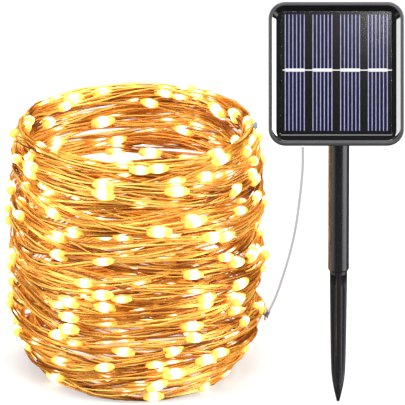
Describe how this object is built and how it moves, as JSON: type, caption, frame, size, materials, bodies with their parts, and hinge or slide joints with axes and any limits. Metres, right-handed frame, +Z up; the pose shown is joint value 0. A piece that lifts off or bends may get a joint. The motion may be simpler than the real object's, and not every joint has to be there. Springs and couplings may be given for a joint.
{
  "type": "solar string lights",
  "caption": "Tilting solar panel head on a ribbed ground stake, with a thin lead hanging to a tall open coil of copper wire string lights with glowing droplet beads.",
  "frame": {"origin": "the tip of the ground spike, where the stake meets the surface that the coil stands on", "axes": "+Z up the stake, -Y out of the solar head's face before it leans back, +X to the viewer's right, so the coil stands to the left of the stake and behind it"},
  "size_m": [0.2355, 0.186, 0.2581],
  "materials": {
    "bezel_gloss": "gloss",
    "charcoal_plastic": "satin",
    "panel_board": "gloss",
    "solar_cell": "gloss",
    "tinned_ribbon": "satin",
    "clear_sheet": "gloss",
    "black_rubber": "matte",
    "button_rubber": "satin",
    "bright_steel": "satin",
    "battery_wrap": "gloss",
    "circuit_green": "satin",
    "chip_black": "matte",
    "copper_wire": "gloss",
    "red_insulation": "satin",
    "black_insulation": "satin",
    "lead_sheath": "satin",
    "splice_plastic": "satin",
    "string_bundle": "satin",
    "lamp_resin": "gloss",
    "lamp_chip": "satin"
  },
  "bodies": {
    "root": {"hinge_knuckle": "charcoal_plastic", "stake_tube": "charcoal_plastic", "ground_spike": "charcoal_plastic", "lead_lower": "lead_sheath", "splice_sleeve": "splice_plastic", "light_coil": "string_bundle"},
    "solar_head": {"front_bezel": "bezel_gloss", "solar_plate": "panel_board", "solar_cell_1": "solar_cell", "solar_cell_2": "solar_cell", "solar_cell_3": "solar_cell", "solar_cell_4": "solar_cell", "tab_ribbon": "tinned_ribbon", "clear_cover": "clear_sheet", "case_seal": "black_rubber", "rear_case": "charcoal_plastic", "case_screw_1": "bright_steel", "case_screw_2": "bright_steel", "case_screw_3": "bright_steel", "case_screw_4": "bright_steel", "battery_cell": "battery_wrap", "battery_contact_spring": "bright_steel", "battery_contact_plus": "bright_steel", "circuit_board": "circuit_green", "power_switch": "chip_black", "mode_switch": "chip_black", "controller_chip": "chip_black", "choke_coil": "copper_wire", "capacitor": "chip_black", "panel_wire_red": "red_insulation", "panel_wire_black": "black_insulation", "battery_wire_red": "red_insulation", "battery_wire_black": "black_insulation", "cable_gland": "black_rubber", "lead_upper": "lead_sheath", "hinge_bolt": "bright_steel", "hinge_washer": "bright_steel"},
    "power_button": {"power_button": "button_rubber"},
    "mode_button": {"mode_button": "button_rubber"},
    "clamp_knob": {"clamp_knob": "charcoal_plastic"}
  },
  "joints": [
    {"name": "panel_tilt", "type": "hinge", "parent": "root", "child": "solar_head", "pos_m": [0, 0, 0.2068], "axis": [1, 0, 0], "range_deg": [-70, 20]},
    {"name": "clamp_knob_turn", "type": "hinge", "parent": "solar_head", "child": "clamp_knob", "pos_m": [0.012, 0, 0.2068], "axis": [1, 0, 0], "range_deg": [0, 360]},
    {"name": "power_press", "type": "slide", "parent": "solar_head", "child": "power_button", "axis": [0, -0.9397, 0.342], "range_m": [0, 0.0008], "stiffness_N_per_m": 1000, "springref_m": -0.0005},
    {"name": "mode_press", "type": "slide", "parent": "solar_head", "child": "mode_button", "axis": [0, -0.9397, 0.342], "range_m": [0, 0.0008], "stiffness_N_per_m": 1000, "springref_m": -0.0005}
  ]
}
